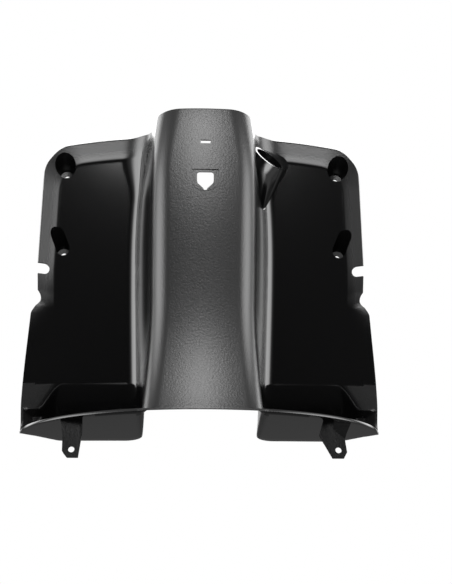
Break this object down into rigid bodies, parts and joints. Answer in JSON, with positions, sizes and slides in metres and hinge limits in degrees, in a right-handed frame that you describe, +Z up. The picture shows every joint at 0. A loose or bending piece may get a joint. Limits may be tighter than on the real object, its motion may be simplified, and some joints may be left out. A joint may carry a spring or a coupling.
{
  "type": "scooter leg shield",
  "caption": "Inner leg shield of a scooter: a raked moulded shell with a central hump, knee wells, toe boxes, recessed screw cups, a lock boss and a bag hook recess.",
  "frame": {"origin": "midway between the seats of the two upper screws, on the centre plane", "axes": "+X to the rider's right, -Y towards the rider, +Z up; the well walls lean 20 degrees towards the rider"},
  "size_m": [0.392, 0.2345, 0.3478],
  "materials": {
    "black_plastic": "black moulded plastic with a satin sheen and a fine grain on the hump"
  },
  "bodies": {
    "root": {"leg_shield": "black_plastic"}
  },
  "joints": []
}
